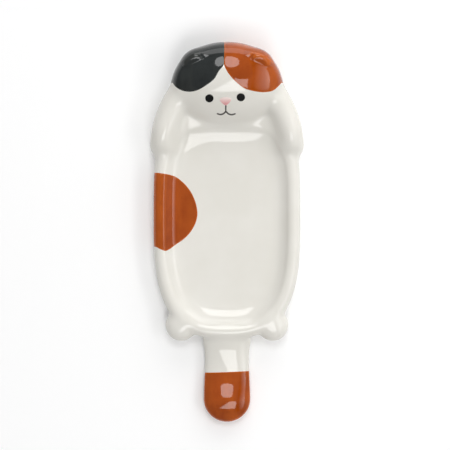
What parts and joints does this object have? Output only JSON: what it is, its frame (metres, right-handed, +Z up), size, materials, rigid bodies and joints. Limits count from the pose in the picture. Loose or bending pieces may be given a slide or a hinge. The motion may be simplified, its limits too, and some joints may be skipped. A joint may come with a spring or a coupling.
{
  "type": "spoon and chopstick rest",
  "caption": "Glazed ceramic rest shaped as a calico cat on its back: the belly is a long shallow dish for a spoon or chopsticks, and the flat tail is the handle.",
  "frame": {"origin": "on the table, under the middle of the overall length and width", "axes": "+Y along the cat from the tail to the head, +X to the viewer's right with the head at the top, +Z up out of the dish"},
  "size_m": [0.0972, 0.24, 0.0346],
  "materials": {
    "white_glaze": "gloss warm white glaze",
    "orange_glaze": "gloss rust orange glaze",
    "dark_glaze": "gloss charcoal glaze",
    "eye_black": "gloss black underglaze",
    "nose_pink": "gloss pink underglaze",
    "mouth_grey": "gloss dark grey underglaze line"
  },
  "bodies": {
    "root": {"tray": "white_glaze", "head": "white_glaze", "arm_left": "white_glaze", "arm_right": "white_glaze", "hind_paw_left": "white_glaze", "hind_paw_right": "white_glaze", "tail": "white_glaze", "ear_left": "dark_glaze", "dark_cap": "dark_glaze", "ear_right": "orange_glaze", "orange_cap": "orange_glaze", "flank_patch": "orange_glaze", "tail_dip": "orange_glaze", "eye_left": "eye_black", "eye_right": "eye_black", "nose": "nose_pink", "mouth": "mouth_grey"}
  },
  "joints": []
}
